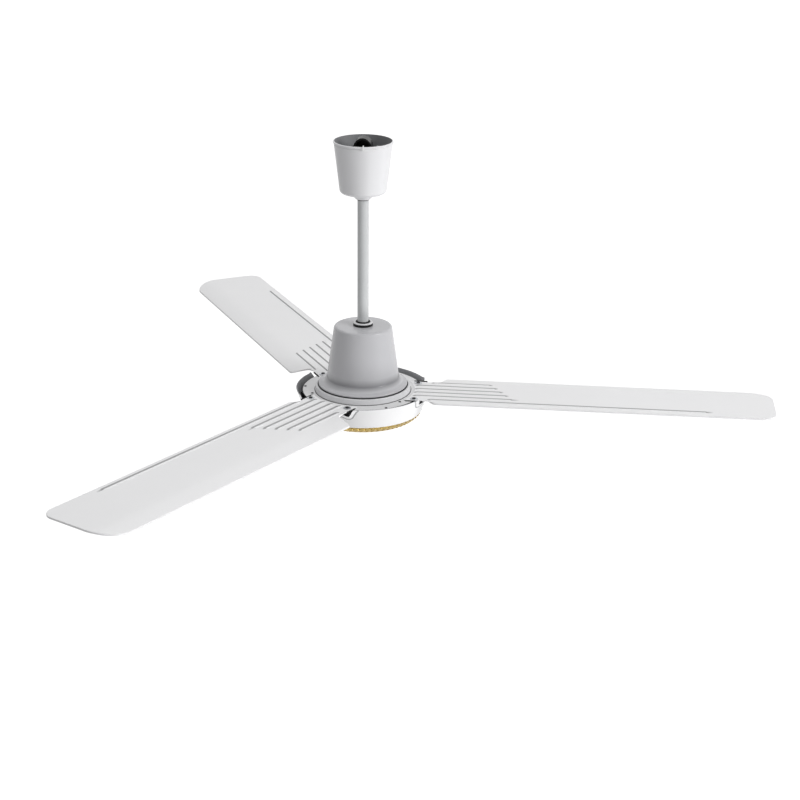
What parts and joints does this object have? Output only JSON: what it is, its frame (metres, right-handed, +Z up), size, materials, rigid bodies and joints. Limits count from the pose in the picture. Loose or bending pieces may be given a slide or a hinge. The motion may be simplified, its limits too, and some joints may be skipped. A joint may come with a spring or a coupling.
{
  "type": "ceiling fan",
  "caption": "Ceiling fan with pressed blades on an outer-rotor motor, hung by a rod and a shackle, with a bell cover and a canopy that slide on the rod.",
  "frame": {"origin": "where the ceiling hook bears on the underside of the reel, on the fan's axis", "axes": "+Z up along the rod and the axis the blades turn about, +X along the first blade, +Y across it"},
  "size_m": [1.0983, 1.2515, 0.4869],
  "materials": {
    "black_steel": "gloss black paint",
    "rubber": "matt moulded rubber",
    "zinc_steel": "zinc plated",
    "rod_paint": "gloss enamel, light grey",
    "canopy_paint": "gloss moulded plastic, white",
    "clip_plastic": "gloss white",
    "bell_paint": "gloss enamel, light grey",
    "capacitor_case": "matt",
    "block_plastic": "matt",
    "brass_screws": "turned",
    "shaft_steel": "ground",
    "bearing_steel": "polished",
    "core_steel": "stacked sheet",
    "copper_winding": "enamelled copper wire",
    "cast_aluminium": "die cast",
    "plate_paint": "satin enamel, light grey",
    "pan_paint": "gloss enamel, white",
    "gold_trim": "embossed, gold lacquer",
    "blade_paint": "satin powder coat, white",
    "screw_steel": "dark plated"
  },
  "bodies": {
    "hanger": {"shackle": "black_steel", "reel_spacers": "zinc_steel", "shackle_bolt": "zinc_steel", "rod_bolt": "zinc_steel", "coupling_bolt": "zinc_steel", "lock_nuts": "zinc_steel", "split_pins": "zinc_steel", "downrod": "rod_paint", "capacitor": "capacitor_case", "terminal_block": "block_plastic", "terminal_screws": "brass_screws", "capacitor_clamp": "zinc_steel", "motor_shaft": "shaft_steel", "inner_races": "bearing_steel", "stator_core": "core_steel", "stator_coils": "copper_winding"},
    "reel": {"reel": "rubber"},
    "canopy": {"canopy": "canopy_paint", "canopy_grommet": "rubber", "canopy_clip": "clip_plastic"},
    "bell": {"bell_cover": "bell_paint", "bell_collar": "rubber", "collar_ring": "bell_paint"},
    "rotor": {"rotor_ring": "cast_aluminium", "lower_shield": "cast_aluminium", "top_plate": "plate_paint", "hub_ring": "bell_paint", "outer_races": "bearing_steel", "pan": "pan_paint", "pan_brackets": "zinc_steel", "pan_screws": "screw_steel", "cover_screws": "screw_steel", "trim_ring": "gold_trim", "bottom_cap": "pan_paint", "blade_1": "blade_paint", "blade_2": "blade_paint", "blade_3": "blade_paint", "blade_screws": "screw_steel", "blade_washers": "zinc_steel"}
  },
  "joints": [
    {"name": "reel_spin", "type": "hinge", "parent": "hanger", "child": "reel", "pos_m": [0, 0, 0.007], "axis": [1, 0, 0], "continuous": true},
    {"name": "canopy_slide", "type": "slide", "parent": "hanger", "child": "canopy", "axis": [0, 0, 1], "range_m": [-0.06, 0.026]},
    {"name": "bell_slide", "type": "slide", "parent": "hanger", "child": "bell", "axis": [0, 0, 1], "range_m": [0, 0.14]},
    {"name": "fan_spin", "type": "hinge", "parent": "hanger", "child": "rotor", "pos_m": [0, 0, -0.41], "axis": [0, 0, 1], "continuous": true}
  ]
}
